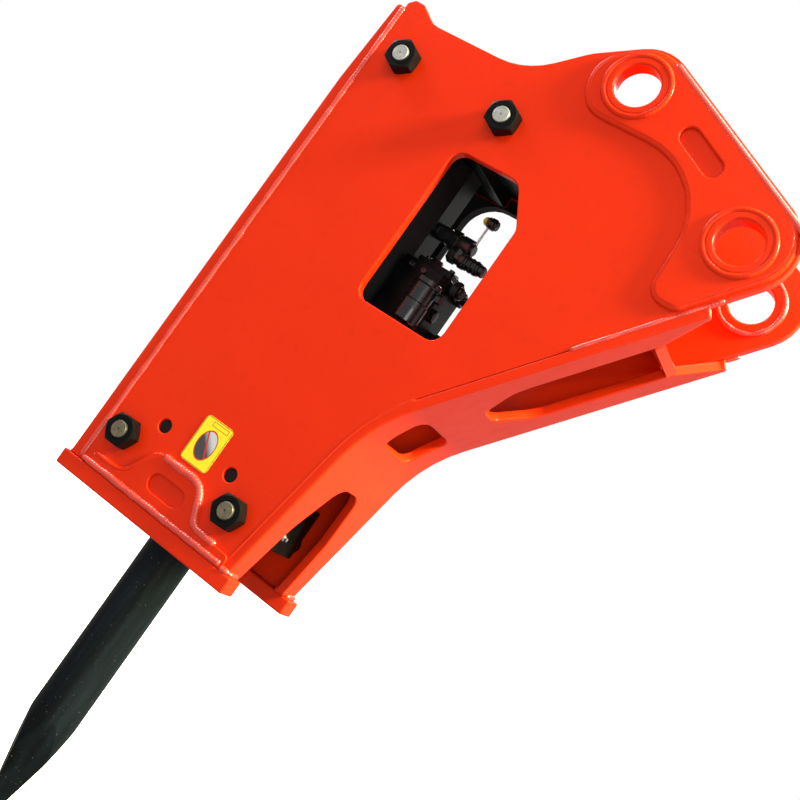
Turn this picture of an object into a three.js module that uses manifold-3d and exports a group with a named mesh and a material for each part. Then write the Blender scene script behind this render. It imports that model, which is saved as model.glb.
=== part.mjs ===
// Side-type hydraulic breaker hammer for an excavator of about 11 to 16 tonnes.
// A welded bracket of two profiled side plates carries the power cell on four through studs.
// Millimetres. +Z runs up along the tool axis, +X from the tool towards the pin bracket,
// +Y across the machine. The assembly is drawn with x = 0 on the tool axis and z = 0 under the
// bottom bars, then moved so that the origin is the centre of the arm pin bores.
import * as THREE from 'three';
import { mergeVertices } from 'three/addons/utils/BufferGeometryUtils.js';
import Module from 'manifold-3d';

const wasm = await Module();
wasm.setup();

// ---- driving dimensions -------------------------------------------------------------------
const gap = 0.3; // clearance left between pieces that touch
const toolDia = 100; // chisel shank
const plateOuter = 157; // outer face of a side plate, from the centre plane
const plateThick = 22;
const plateInner = plateOuter - plateThick;
const armPin = { x: 635, z: 1005 }; // lower, rear pin
const linkPin = { x: 316, z: 1175 }; // upper pin, towards the tool
const pinBore = 42.5; // bore radius in the pin bosses
const bossOuter = 58;
const bossProud = 4; // boss stands this far outside the doubler
const bossInnerFace = 130; // arm gap is twice this
const doublerThick = 8;
const studRadius = 18; // M36 side studs
// Side studs: the lower pair holds the front head, the upper pair the back head. Each nut is
// left at its own angle, in degrees, as it was tightened.
const studs = {
  lower_front: { x: -142, z: 124, nutTurn: -1.5 },
  lower_rear: { x: 142, z: 124, nutTurn: -3 },
  upper_front: { x: -121, z: 1021, nutTurn: -30.5 },
  upper_rear: { x: 134, z: 1005, nutTurn: -32 },
};
const nutFlats = 60; // heavy hexagon
const nutHeight = 29;
const barHeight = 32;
const webThick = 20;
const frontThick = 26;
const headBottom = 97; // lowest face of the power cell
const headTop = 400;
const cylinderTop = 930;
const backHeadTop = 1060;
const cellHalfWidth = plateInner - gap - 0.2;
const cylinderFlats = 151; // across the flats of the octagonal cylinder
const boreRadius = 47.5; // piston bore
const guideRadius = 42.5; // lower guide of the piston
const tieRod = { radius: 10, circle: 66, angle: Math.PI / 8 };
const toolTravel = 70;
const pistonTravel = 110;
const toolTop = 305; // top of the chisel as it hangs on its retaining pins
const pistonTop = 925; // top of the piston at the bottom of its stroke
const tipLevel = -645;
const retainer = { radius: 20, x: 59, z: 215 };
const sides = [['left', -1], ['right', 1]];

// ---- shared helpers -----------------------------------------------------------------------
// Turns a list of [x, z, radius] corners into points, with every corner rounded to its radius.
function rounded(corners) {
  const chordError = 0.5;
  const points = [];
  corners.forEach(([x, z, radius], i) => {
    const corner = new THREE.Vector2(x, z);
    const before = corners[(i + corners.length - 1) % corners.length];
    const after = corners[(i + 1) % corners.length];
    const arriving = corner.clone().sub(new THREE.Vector2(before[0], before[1])).normalize();
    const leaving = new THREE.Vector2(after[0], after[1]).sub(corner).normalize();
    const turn = Math.atan2(arriving.cross(leaving), arriving.dot(leaving));
    if (!radius || Math.abs(turn) < 0.01) {
      points.push(corner);
      return;
    }
    const tangent = radius * Math.tan(Math.abs(turn) / 2);
    const start = corner.clone().addScaledVector(arriving, -tangent);
    const side = Math.sign(turn);
    const towardsCentre = new THREE.Vector2(-arriving.y, arriving.x).multiplyScalar(side * radius);
    const centre = start.clone().add(towardsCentre);
    const largestStep = 2 * Math.acos(1 - Math.min(chordError / radius, 0.3));
    const steps = Math.max(2, Math.ceil(Math.abs(turn) / largestStep));
    for (let k = 0; k <= steps; k += 1) {
      points.push(start.clone().rotateAround(centre, (turn * k) / steps));
    }
  });
  return points;
}

function circle(x, z, radius, steps = 28) {
  return Array.from({ length: steps }, (_, k) => {
    const angle = (2 * Math.PI * k) / steps;
    return new THREE.Vector2(x + radius * Math.cos(angle), z + radius * Math.sin(angle));
  });
}

// A slot with half-round ends, turned about its centre.
function obround(x, z, length, width, angle = 0) {
  const straight = length / 2;
  const half = width / 2;
  const ends = [[-straight, -half, half * 0.999], [straight, -half, half * 0.999],
    [straight, half, half * 0.999], [-straight, half, half * 0.999]];
  const centre = new THREE.Vector2(x, z);
  return rounded(ends).map((point) => point.rotateAround(new THREE.Vector2(), angle).add(centre));
}

function box(x0, x1, y0, y1, z0, z1) {
  const geometry = new THREE.BoxGeometry(x1 - x0, y1 - y0, z1 - z0);
  return geometry.translate((x0 + x1) / 2, (y0 + y1) / 2, (z0 + z1) / 2);
}

// A plate whose outline lies in the XZ plane, from y0 to y1.
function plate(points, holes, y0, y1) {
  const shape = new THREE.Shape(points);
  holes.forEach((hole) => shape.holes.push(new THREE.Path(hole)));
  const geometry = new THREE.ExtrudeGeometry(shape, { depth: y1 - y0, bevelEnabled: false });
  return geometry.rotateX(Math.PI / 2).translate(0, y1, 0);
}

// A prism whose section lies in the XY plane, from z0 to z1.
function prism(points, z0, z1) {
  const shape = new THREE.Shape(points);
  const geometry = new THREE.ExtrudeGeometry(shape, { depth: z1 - z0, bevelEnabled: false });
  return geometry.translate(0, 0, z0);
}

// Turns a solid of revolution about Z. The profile is a list of [radius, z].
function turned(profile, steps = 32) {
  const points = profile.map(([radius, z]) => new THREE.Vector2(radius, z));
  return faceOut(new THREE.LatheGeometry(points, steps).rotateX(Math.PI / 2));
}

function tube(inner, outer, z0, z1, steps = 32) {
  return turned([[inner, z0], [outer, z0], [outer, z1], [inner, z1], [inner, z0]], steps);
}

function rod(radius, z0, z1, steps = 28) {
  return turned([[0, z0], [radius, z0], [radius, z1], [0, z1]], steps);
}

// Lays a solid that was turned about Z along Y, through the point x, z.
function alongY(geometry, x, z) {
  return geometry.rotateX(-Math.PI / 2).translate(x, 0, z);
}

function alongX(geometry, y, z) {
  return geometry.rotateY(Math.PI / 2).translate(0, y, z);
}

function signedVolume(geometry) {
  const position = geometry.getAttribute('position');
  const index = geometry.index.array;
  const corner = [0, 1, 2].map(() => new THREE.Vector3());
  let volume = 0;
  for (let i = 0; i < index.length; i += 3) {
    corner.forEach((point, k) => point.fromBufferAttribute(position, index[i + k]));
    volume += corner[0].dot(corner[1].clone().cross(corner[2]));
  }
  return volume;
}

function welded(geometry) {
  const bare = geometry.clone();
  bare.deleteAttribute('normal');
  bare.deleteAttribute('uv');
  return mergeVertices(bare, 1e-3);
}

function faceOut(geometry) {
  const merged = welded(geometry);
  const index = merged.index.array;
  if (signedVolume(merged) < 0) {
    for (let i = 0; i < index.length; i += 3) {
      [index[i], index[i + 1]] = [index[i + 1], index[i]];
    }
  }
  return merged;
}

function solid(geometry) {
  const merged = welded(geometry);
  return new wasm.Manifold(new wasm.Mesh({
    numProp: 3,
    vertProperties: new Float32Array(merged.getAttribute('position').array),
    triVerts: new Uint32Array(merged.index.array),
  }));
}

function geometryOf(manifold) {
  const mesh = manifold.getMesh();
  const geometry = new THREE.BufferGeometry();
  geometry.setAttribute('position', new THREE.BufferAttribute(new Float32Array(mesh.vertProperties), 3));
  geometry.setIndex(new THREE.BufferAttribute(new Uint32Array(mesh.triVerts), 1));
  return geometry;
}

function cut(geometry, ...tools) {
  return geometryOf(tools.reduce((body, tool) => body.subtract(solid(tool)), solid(geometry)));
}

function join(geometry, ...others) {
  return geometryOf(others.reduce((body, other) => body.add(solid(other)), solid(geometry)));
}

// ---- finishes -----------------------------------------------------------------------------
const finishes = {
  red_paint: [0xe22a12, 0.38, 0.1],
  black_steel: [0x15171a, 0.45, 0.7],
  black_paint: [0x16181a, 0.5, 0.3],
  bright_steel: [0xa8a59c, 0.35, 0.9],
  bronze: [0x8a6a3a, 0.4, 0.8],
  rubber: [0x0d0d0d, 0.85, 0],
  yellow_plastic: [0xf4cf16, 0.45, 0],
};
const assembly = new THREE.Group();

function add(name, finish, geometry) {
  const [color, roughness, metalness] = finishes[finish];
  const mesh = new THREE.Mesh(geometry, new THREE.MeshStandardMaterial({ color, roughness, metalness }));
  mesh.name = name;
  assembly.add(mesh);
}

// ---- bracket: side plates -----------------------------------------------------------------
const plateBottom = barHeight + gap;
const frontEdge = -196;
const webSlope = 1.185; // rise over run of the straight upper part of the rear edge
const webLean = 0.178; // run over rise of the lower part
const webBendRadius = 340;
const webCos = Math.cos(Math.atan(webSlope));
// Rear edge of the side plates at the given distance outside it, as corners for rounded().
function rearLine(offset) {
  const footX = 181.9 + offset / Math.cos(Math.atan(webLean));
  const upperZ = 116.3 - offset / webCos; // height of the upper line at x = 0
  const bendX = (footX + webLean * (upperZ - plateBottom)) / (1 - webLean * webSlope);
  return {
    foot: [footX, plateBottom, 0],
    bend: [bendX, upperZ + webSlope * bendX, webBendRadius - offset],
    at: (x) => [x, upperZ + webSlope * x, 0],
  };
}

// The window on the right side reaches further forward, past the cylinder.
const windowCorners = {
  left: [[84, 582, 26], [279, 582, 26], [279, 836, 20], [229, 917, 30], [84, 917, 26]],
  right: [[36, 582, 26], [279, 582, 26], [279, 848, 20], [227, 932, 30], [36, 930, 70]],
};

function sidePlateOutline() {
  const rear = rearLine(0);
  return rounded([
    [frontEdge, plateBottom, 0],
    [frontEdge + 2, 1128, 5],
    [-182, 1140, 10],
    [-160, 1139, 14],
    [-118, 1111, 44],
    [104, 1110, 150],
    [199, 1197, 110],
    [320.6, 1273, 90],
    [788, 1050, 94],
    rear.bend,
    rear.foot,
  ]);
}

function studHoles(radius) {
  return Object.values(studs).map(({ x, z }) => circle(x, z, radius, 24));
}

function addSidePlates() {
  // Two holes over the foot, closed with rubber plugs in use.
  const accessHoles = [circle(-82, 178, 14, 24), circle(92, 178, 14, 24)];
  const bossHoles = [armPin, linkPin].map(({ x, z }) => circle(x, z, bossOuter + gap, 36));
  sides.forEach(([side, sign]) => {
    const window = rounded(windowCorners[side]);
    const holes = [window, ...bossHoles, ...accessHoles, ...studHoles(studRadius + 0.6)];
    const y = [sign * plateInner, sign * plateOuter].sort((a, b) => a - b);
    add(`side_plate_${side}`, 'red_paint', plate(sidePlateOutline(), holes, ...y));
  });
}

// ---- bracket: plates that join the two sides ----------------------------------------------
function addFrontPlate() {
  const outline = rounded([
    [frontEdge - gap - frontThick, plateBottom, 0],
    [frontEdge - gap, plateBottom, 0],
    [frontEdge - gap, 1118, 0],
    [frontEdge - gap - frontThick + 10, 1119, 6],
    [frontEdge - gap - frontThick, 930, 0],
  ]);
  add('front_plate', 'red_paint', plate(outline, [], -plateOuter, plateOuter));
}

// A cutter drawn across the rear web: points are [y, distance up the web from the origin].
function webCutter(points, originX, originZ, slopeAngle) {
  const depth = 160;
  const across = new THREE.Vector3(0, 1, 0);
  const up = new THREE.Vector3(Math.cos(slopeAngle), 0, Math.sin(slopeAngle));
  const out = new THREE.Vector3().crossVectors(across, up);
  const shape = new THREE.Shape(points);
  const geometry = new THREE.ExtrudeGeometry(shape, { depth, bevelEnabled: false });
  geometry.translate(0, 0, -depth / 2);
  const frame = new THREE.Matrix4().makeBasis(across, up, out);
  frame.setPosition(originX, 0, originZ);
  return geometry.applyMatrix4(frame);
}

const webTipX = 664; // upper end of the web, just below the arm pin

function addRearWeb() {
  const outer = rearLine(gap + webThick);
  const inner = rearLine(gap);
  const tipOuter = outer.at(webTipX);
  const tipInner = inner.at(webTipX - webThick * 0.6);
  const outline = rounded([inner.foot, outer.foot, outer.bend, tipOuter, tipInner, inner.bend]);
  const blank = plate(outline, [], -plateOuter, plateOuter);
  const lowerAngle = Math.atan2(1, webLean);
  const upperAngle = Math.atan(webSlope);
  const foot = outer.foot;
  const arch = rounded([[-104, -20, 0], [104, -20, 0], [88, 130, 60],
    [46, 246, 44], [-46, 246, 44], [-88, 130, 60]]);
  const middle = rounded([[-72, -46, 24], [72, -46, 24], [80, 46, 24], [-80, 46, 24]]);
  const slot = rounded([[-30, 0, 30], [30, 0, 30], [84, 72, 60], [84, 338, 20], [137, 425, 0],
    [137, 520, 0], [-137, 520, 0], [-137, 425, 0], [-84, 338, 20], [-84, 72, 60]]);
  const slotBase = outer.at(384);
  const body = cut(
    blank,
    webCutter(arch, foot[0], foot[1], lowerAngle),
    webCutter(middle, 297, 421, THREE.MathUtils.degToRad(61)),
    webCutter(slot, slotBase[0], slotBase[1], upperAngle),
  );
  add('rear_web', 'red_paint', body);
}

// Folded plate that closes the box below the arm gap. Its lower edge shows between the web's legs.
function addCrossPlate() {
  const half = 10;
  const start = new THREE.Vector2(602, 797.5);
  const fold = new THREE.Vector2(304, 956);
  const end = new THREE.Vector2(199, 1172);
  const firstRun = fold.clone().sub(start).normalize();
  const secondRun = end.clone().sub(fold).normalize();
  const firstNormal = new THREE.Vector2(-firstRun.y, firstRun.x);
  const secondNormal = new THREE.Vector2(-secondRun.y, secondRun.x);
  const mitre = firstNormal.clone().add(secondNormal).normalize();
  mitre.multiplyScalar(half / mitre.dot(firstNormal));
  const corner = (point, offset, radius) => [point.x + offset.x, point.y + offset.y, radius];
  const outline = rounded([
    corner(start, firstNormal.clone().multiplyScalar(half), 0),
    corner(fold, mitre, 30),
    corner(end, secondNormal.clone().multiplyScalar(half), 0),
    corner(end, secondNormal.clone().multiplyScalar(-half), 0),
    corner(fold, mitre.clone().negate(), 50),
    corner(start, firstNormal.clone().multiplyScalar(-half), 0),
  ]);
  const wide = plate(outline, [], -plateInner + gap, plateInner - gap);
  const legs = sides.map(([, sign]) => {
    const legInner = 84 - gap;
    const y = [sign * legInner, sign * 150].sort((a, b) => a - b);
    return box(565, 640, ...y, 760, 845);
  });
  add('cross_plate', 'red_paint', cut(wide, ...legs));
}

function addTopPlate() {
  const blank = box(frontEdge + gap, 176, -plateInner + gap, plateInner - gap, 1090, 1108);
  const opening = rounded([[60, -70, 20], [150, -70, 20], [150, 70, 20], [60, 70, 20]]);
  const hoseOpening = prism(opening, 1080, 1120);
  add('top_plate', 'red_paint', cut(blank, hoseOpening));
}

function addBottomBars() {
  const barInner = 115;
  const barOuter = plateOuter + gap + 6;
  sides.forEach(([side, sign]) => {
    const y = [sign * barInner, sign * barOuter].sort((a, b) => a - b);
    const outline = rounded([[-233, 0, 3], [217, 0, 3], [217, barHeight, 3], [-233, barHeight, 3]]);
    add(`bottom_bar_${side}`, 'red_paint', plate(outline, [], ...y));
  });
}

// ---- bracket: doublers and pin bosses ------------------------------------------------------
function addBracketDoublers() {
  const inset = 13;
  const rear = rearLine(-inset);
  const outline = rounded([
    [214, 1190, 62],
    [251, 1098, 56],
    [546, 1098, 160],
    [551, 853, 30],
    [rear.at(604)[0], 852, 14],
    [767, 1045.5, 81],
    [319, 1259, 77],
  ]);
  const holes = [armPin, linkPin].map(({ x, z }) => circle(x, z, bossOuter + gap, 36));
  const plugSlot = obround(487, 1118, 112, 38, THREE.MathUtils.degToRad(-26));
  sides.forEach(([side, sign]) => {
    const inner = plateOuter + gap;
    const y = [sign * inner, sign * (inner + doublerThick)].sort((a, b) => a - b);
    add(`bracket_doubler_${side}`, 'red_paint', plate(outline, [...holes, plugSlot], ...y));
  });
}

function addPinBosses() {
  const outerFace = plateOuter + gap + doublerThick + bossProud;
  const chamfer = 3;
  const profile = [
    [pinBore, bossInnerFace + chamfer], [pinBore + chamfer, bossInnerFace],
    [bossOuter, bossInnerFace], [bossOuter, outerFace - chamfer],
    [bossOuter - chamfer, outerFace], [pinBore + chamfer, outerFace],
    [pinBore, outerFace - chamfer], [pinBore, bossInnerFace + chamfer],
  ];
  [['arm', armPin], ['link', linkPin]].forEach(([pin, { x, z }]) => {
    sides.forEach(([side, sign]) => {
      const mirrored = profile.map(([radius, y]) => [radius, sign * y]);
      add(`${pin}_pin_boss_${side}`, 'red_paint', alongY(turned(mirrored, 36), x, z));
    });
  });
}

function addFootDoublers() {
  const outline = rounded([
    [-178, plateBottom, 0], [-178, 58, 8], [-94, 60, 22], [-60, 135, 26],
    [58, 135, 26], [96, 64, 22], [188, 60, 8], [188, plateBottom, 0],
  ]);
  const plugSlot = obround(4, 84, 88, 38);
  sides.forEach(([side, sign]) => {
    const y = [sign * (plateOuter + gap), sign * (plateOuter + gap + 5.5)].sort((a, b) => a - b);
    add(`foot_doubler_${side}`, 'red_paint', plate(outline, [plugSlot], ...y));
  });
}

function addLabels() {
  const outline = rounded([[-18, 150, 7], [49, 150, 7], [49, 246, 7], [-18, 246, 7]]);
  sides.forEach(([side, sign]) => {
    const y = [sign * (plateOuter + gap), sign * (plateOuter + gap + 0.8)].sort((a, b) => a - b);
    add(`label_${side}`, 'yellow_plastic', plate(outline, [], ...y));
  });
}

// ---- side studs and nuts ------------------------------------------------------------------
function nutGeometry(y0, y1) {
  const corners = circle(0, 0, nutFlats / Math.sqrt(3), 6);
  const bore = circle(0, 0, studRadius + 0.5, 24);
  return plate(corners, [bore], y0, y1);
}

function addSideStuds() {
  const standOut = 3;
  const nutInner = plateOuter + gap;
  const nutOuter = nutInner + nutHeight;
  const end = nutOuter + standOut;
  const chamfer = 2.5;
  const profile = [[0, -end], [studRadius - chamfer, -end], [studRadius, chamfer - end],
    [studRadius, end - chamfer], [studRadius - chamfer, end], [0, end]];
  Object.entries(studs).forEach(([place, { x, z, nutTurn }]) => {
    add(`side_stud_${place}`, 'bright_steel', alongY(turned(profile, 24), x, z));
    sides.forEach(([side, sign]) => {
      const y = [sign * nutInner, sign * nutOuter].sort((a, b) => a - b);
      const nut = nutGeometry(...y).rotateY(THREE.MathUtils.degToRad(nutTurn)).translate(x, 0, z);
      add(`side_nut_${place}_${side}`, 'black_steel', nut);
    });
  });
}

// ---- power cell: front head and what it holds ---------------------------------------------
const bushOuter = 70;
const bushInner = toolDia / 2 + 0.6;
const lowerBush = { z0: 112, z1: 190 };
const upperBush = { z0: 265, z1: 380 };

function crossBores(...places) {
  const reach = 150;
  return places.map(({ x, z }) => alongY(rod(studRadius + 1, -reach, reach, 24), x, z));
}

function tiePlaces() {
  const x = tieRod.circle * Math.cos(tieRod.angle);
  const y = tieRod.circle * Math.sin(tieRod.angle);
  return [[-x, -y], [x, -y], [x, y], [-x, y]];
}

function addFrontHead() {
  const halfX = 168;
  const corner = 24;
  const outline = [[-1, -1], [1, -1], [1, 1], [-1, 1]].flatMap(([sx, sy], k) => {
    const alongXEdge = [sx * (halfX - corner), sy * cellHalfWidth];
    const alongYEdge = [sx * halfX, sy * (cellHalfWidth - corner)];
    return k % 2 ? [alongXEdge, alongYEdge] : [alongYEdge, alongXEdge];
  }).map(([x, y]) => new THREE.Vector2(x, y));
  const bore = turned([
    [0, headBottom - 5], [bushInner + 8, headBottom - 5], [bushInner + 8, lowerBush.z0 - gap],
    [bushOuter + gap, lowerBush.z0 - gap], [bushOuter + gap, lowerBush.z1 + gap],
    [bushInner + 2, lowerBush.z1 + gap], [bushInner + 2, upperBush.z0 - gap],
    [bushOuter + gap, upperBush.z0 - gap], [bushOuter + gap, headTop + 5], [0, headTop + 5],
  ]);
  const pinBores = [-1, 1].map((sign) => {
    const geometry = rod(retainer.radius + 0.5, -120, 120, 24);
    return alongY(geometry, sign * retainer.x, retainer.z);
  });
  const waist = [-1, 1].map((sign) => {
    const x = [sign * 118, sign * 200].sort((a, b) => a - b);
    return box(...x, -150, 150, 205, 420);
  });
  add('front_head', 'black_paint', cut(prism(outline, headBottom, headTop), bore, ...pinBores, ...waist,
    ...crossBores(studs.lower_front, studs.lower_rear)));
}

function addBushes() {
  add('dust_seal', 'rubber', tube(bushInner, bushInner + 7.5, headBottom + 3, lowerBush.z0 - 2 * gap));
  add('lower_bush', 'bronze', tube(bushInner, bushOuter, lowerBush.z0, lowerBush.z1));
  add('upper_bush', 'bronze', tube(bushInner, bushOuter, upperBush.z0, upperBush.z1));
  add('thrust_ring', 'black_steel', tube(bushInner - 4, bushOuter, upperBush.z1 + gap, headTop - gap));
}

function addRetainingPins() {
  [['front', -1], ['rear', 1]].forEach(([place, sign]) => {
    const pin = alongY(rod(retainer.radius, -119, 119, 24), sign * retainer.x, retainer.z);
    add(`retaining_pin_${place}`, 'bright_steel', pin);
  });
}

// ---- the chisel ---------------------------------------------------------------------------
function addChisel() {
  const radius = toolDia / 2;
  const tipHalf = 6; // half width of the blunt tip across its flats
  const taper = 0.182; // closing of each flat per millimetre
  const shank = turned([[0, tipLevel], [radius, tipLevel], [radius, toolTop - 8], [radius - 6, toolTop],
    [0, toolTop]], 40);
  const rise = 330;
  const flats = [0, 1, 2, 3].map((k) => {
    const wide = tipHalf + taper * rise;
    const wedge = new THREE.Shape([
      new THREE.Vector2(tipHalf, tipLevel), new THREE.Vector2(90, tipLevel - 10),
      new THREE.Vector2(90, tipLevel + rise), new THREE.Vector2(wide, tipLevel + rise),
    ]);
    const tool = new THREE.ExtrudeGeometry(wedge, { depth: 200, bevelEnabled: false });
    tool.translate(0, 0, -100).rotateX(Math.PI / 2);
    return tool.rotateZ((Math.PI / 2) * k + Math.PI / 5);
  });
  const notchTop = retainer.z + retainer.radius + gap;
  const notchBottom = retainer.z - retainer.radius - toolTravel - 1;
  const notchX = retainer.x - retainer.radius - 0.5;
  const notches = [-1, 1].map((sign) => {
    const x = [sign * notchX, sign * (radius + 5)].sort((a, b) => a - b);
    return box(...x, -60, 60, notchBottom, notchTop);
  });
  add('chisel', 'black_steel', cut(shank, ...flats, ...notches));
}

// ---- power cell: cylinder, piston, back head ----------------------------------------------
function octagon(acrossFlats) {
  return circle(0, 0, acrossFlats / 2 / Math.cos(Math.PI / 8), 8).map((point) => (
    point.rotateAround(new THREE.Vector2(), Math.PI / 8)));
}

const pistonRest = toolTop + toolTravel + 2;
const sealCarrier = { outer: 52, z0: 850, z1: cylinderTop - gap };

function addCylinder() {
  const bore = turned([
    [0, headTop - 5], [bushInner, headTop - 5], [bushInner, 415], [guideRadius + 0.5, 425],
    [guideRadius + 0.5, 540], [boreRadius + 0.5, 545], [boreRadius + 0.5, sealCarrier.z0 - gap],
    [sealCarrier.outer + gap, sealCarrier.z0 - gap], [sealCarrier.outer + gap, cylinderTop + 5],
    [0, cylinderTop + 5],
  ]);
  const rodBores = tiePlaces().map(([x, y]) => rod(tieRod.radius + 0.5, headTop - 5, cylinderTop + 5, 16)
    .translate(x, y, 0));
  const barrel = prism(octagon(cylinderFlats), headTop + gap, cylinderTop);
  add('cylinder', 'black_paint', cut(barrel, bore, ...rodBores));
  add('seal_carrier', 'bronze', tube(39.5, sealCarrier.outer, sealCarrier.z0, sealCarrier.z1));
}

function addPiston() {
  const z = pistonRest;
  const profile = [
    [0, z], [guideRadius - 6, z], [guideRadius, z + 8], [guideRadius, 556], [boreRadius, 562],
    [boreRadius, 620], [boreRadius - 7, 625], [boreRadius - 7, 655], [boreRadius, 660],
    [boreRadius, 725], [39, 731], [39, pistonTop - 7], [34, pistonTop], [0, pistonTop],
  ];
  add('piston', 'bright_steel', turned(profile));
}

function addBackHead() {
  const z0 = cylinderTop + gap;
  const gasLevel = 970;
  const halfX = 160;
  const outline = rounded([[-halfX, -cellHalfWidth, 14], [halfX, -cellHalfWidth, 14],
    [halfX, cellHalfWidth, 14], [-halfX, cellHalfWidth, 14]]);
  const chamberTop = pistonTop + pistonTravel + 11;
  const chamber = turned([[0, z0 - 5], [40, z0 - 5], [40, chamberTop], [0, chamberTop]], 28);
  const gasPort = alongX(rod(8, 20, halfX + 6, 16), 0, gasLevel);
  const lowerSides = [-1, 1].map((sign) => {
    const x = [sign * 100, sign * 170].sort((a, b) => a - b);
    return box(...x, -150, 150, z0 - 5, 958);
  });
  const rodBores = tiePlaces().map(([x, y]) => rod(tieRod.radius + 0.5, z0 - 5, backHeadTop + 5, 16)
    .translate(x, y, 0));
  add('back_head', 'black_paint', cut(prism(outline, z0, backHeadTop), chamber, gasPort, ...lowerSides,
    ...rodBores, ...crossBores(studs.upper_front, studs.upper_rear)));
  const stem = alongX(rod(7.5, 60, halfX + 1, 16), 0, gasLevel);
  const hexagon = alongX(rod(14, halfX + gap, halfX + 18, 6), 0, gasLevel);
  const valve = join(stem, hexagon);
  add('gas_valve', 'bright_steel', valve);
}

function addTieRods() {
  tiePlaces().forEach(([x, y], k) => {
    add(`tie_rod_${k + 1}`, 'black_steel', rod(tieRod.radius, headTop + 1, 1087, 16).translate(x, y, 0));
    const nut = cut(
      prism(circle(0, 0, 18, 6), backHeadTop + gap, backHeadTop + 20),
      rod(tieRod.radius + 0.4, backHeadTop - 5, backHeadTop + 30, 16),
    );
    add(`tie_rod_nut_${k + 1}`, 'black_steel', nut.translate(x, y, 0));
  });
}

// ---- control valve and ports --------------------------------------------------------------
const valve = { x0: cylinderFlats / 2 + gap, x1: 180, half: 60, z0: 566, z1: 716, spoolX: 138 };

function addValve() {
  const outline = rounded([[valve.x0, -valve.half, 0], [valve.x1 - 14, -valve.half, 0],
    [valve.x1, -valve.half + 14, 0], [valve.x1, valve.half - 14, 0],
    [valve.x1 - 14, valve.half, 0], [valve.x0, valve.half, 0]]);
  const spoolBore = rod(19, valve.z0 + 14, valve.z1 + 5, 24).translate(valve.spoolX, 0, 0);
  const inletBore = alongX(rod(14, valve.x1 - 25, valve.x1 + 5, 20), 28, 600);
  add('valve_block', 'black_paint', cut(prism(outline, valve.z0, valve.z1), spoolBore, inletBore));
  const spool = turned([[0, 582], [18.5, 582], [18.5, 612], [12, 614], [12, 640], [18.5, 642],
    [18.5, 672], [12, 674], [12, 690], [0, 690]], 24).translate(valve.spoolX, 0, 0);
  add('valve_spool', 'bright_steel', spool);
  const cap = prism(rounded([[valve.x0 + 14, -44, 8], [valve.x1 - 6, -44, 8], [valve.x1 - 6, 44, 8],
    [valve.x0 + 14, 44, 8]]), valve.z1 + gap, valve.z1 + 14);
  add('valve_cap', 'black_steel', cap);
}

// A port adapter: hexagon, collar and threaded nose, turned about Z from z = 0 outwards.
function adapterGeometry() {
  return join(
    rod(13.5, -20, 2, 20),
    prism(circle(0, 0, 24, 6), 0.5, 22),
    rod(17, 20, 52, 20),
  );
}

function addPorts() {
  const outletHeight = 790;
  const elbow = join(
    alongX(rod(20, cylinderFlats / 2 + gap, 120, 20), 0, outletHeight),
    alongX(prism(circle(0, 0, 27, 6), 118, 142), 0, outletHeight),
    alongX(rod(18, 140, 176, 20), 0, outletHeight),
  );
  add('outlet_adapter', 'black_steel', elbow);
  add('outlet_cap', 'rubber', alongX(rod(22, 176 + gap, 200, 20), 0, outletHeight));
  add('inlet_adapter', 'black_steel', alongX(adapterGeometry(), 28, 600).translate(valve.x1, 0, 0));
  add('inlet_cap', 'rubber', alongX(rod(20, 52 + gap, 74, 20), 28, 600).translate(valve.x1, 0, 0));
  const headFace = 168;
  const nipple = turned([[0, 0], [7, 0], [7, 5], [4, 7], [4, 12], [0, 14]], 12);
  add('grease_nipple', 'bright_steel', alongX(nipple.translate(0, 0, headFace + gap), 22, 131));
}

addSidePlates();
addFrontPlate();
addRearWeb();
addCrossPlate();
addTopPlate();
addBottomBars();
addBracketDoublers();
addPinBosses();
addFootDoublers();
addLabels();
addSideStuds();
addFrontHead();
addBushes();
addRetainingPins();
addChisel();
addCylinder();
addPiston();
addBackHead();
addTieRods();
addValve();
addPorts();

assembly.position.set(-armPin.x, 0, -armPin.z);
const breaker = new THREE.Group();
breaker.add(assembly);
export default breaker;
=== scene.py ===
from math import cos, pi, radians, sin, sqrt

import bmesh
import bpy
from mathutils import Matrix, Vector, noise


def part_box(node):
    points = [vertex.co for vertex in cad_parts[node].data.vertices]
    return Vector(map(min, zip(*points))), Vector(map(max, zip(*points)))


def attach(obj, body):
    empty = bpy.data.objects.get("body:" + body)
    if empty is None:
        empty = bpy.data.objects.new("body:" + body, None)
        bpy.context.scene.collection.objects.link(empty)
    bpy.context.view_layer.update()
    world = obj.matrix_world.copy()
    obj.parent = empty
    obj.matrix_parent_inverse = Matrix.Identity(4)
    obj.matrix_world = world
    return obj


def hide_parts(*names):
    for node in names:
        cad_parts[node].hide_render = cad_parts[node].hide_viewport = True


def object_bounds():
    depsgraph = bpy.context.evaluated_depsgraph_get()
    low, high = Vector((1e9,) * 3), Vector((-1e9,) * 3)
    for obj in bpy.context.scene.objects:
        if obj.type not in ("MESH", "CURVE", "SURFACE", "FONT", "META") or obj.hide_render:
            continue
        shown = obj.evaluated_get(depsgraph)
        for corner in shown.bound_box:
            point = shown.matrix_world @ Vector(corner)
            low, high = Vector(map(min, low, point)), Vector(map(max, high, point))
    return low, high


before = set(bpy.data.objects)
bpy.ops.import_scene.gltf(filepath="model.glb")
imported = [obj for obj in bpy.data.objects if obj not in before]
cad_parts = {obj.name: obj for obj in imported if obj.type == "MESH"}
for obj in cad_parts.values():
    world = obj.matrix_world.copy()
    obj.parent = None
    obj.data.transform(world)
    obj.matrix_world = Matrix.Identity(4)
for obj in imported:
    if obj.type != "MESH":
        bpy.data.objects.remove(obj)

cad_low, cad_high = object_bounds()


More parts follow.
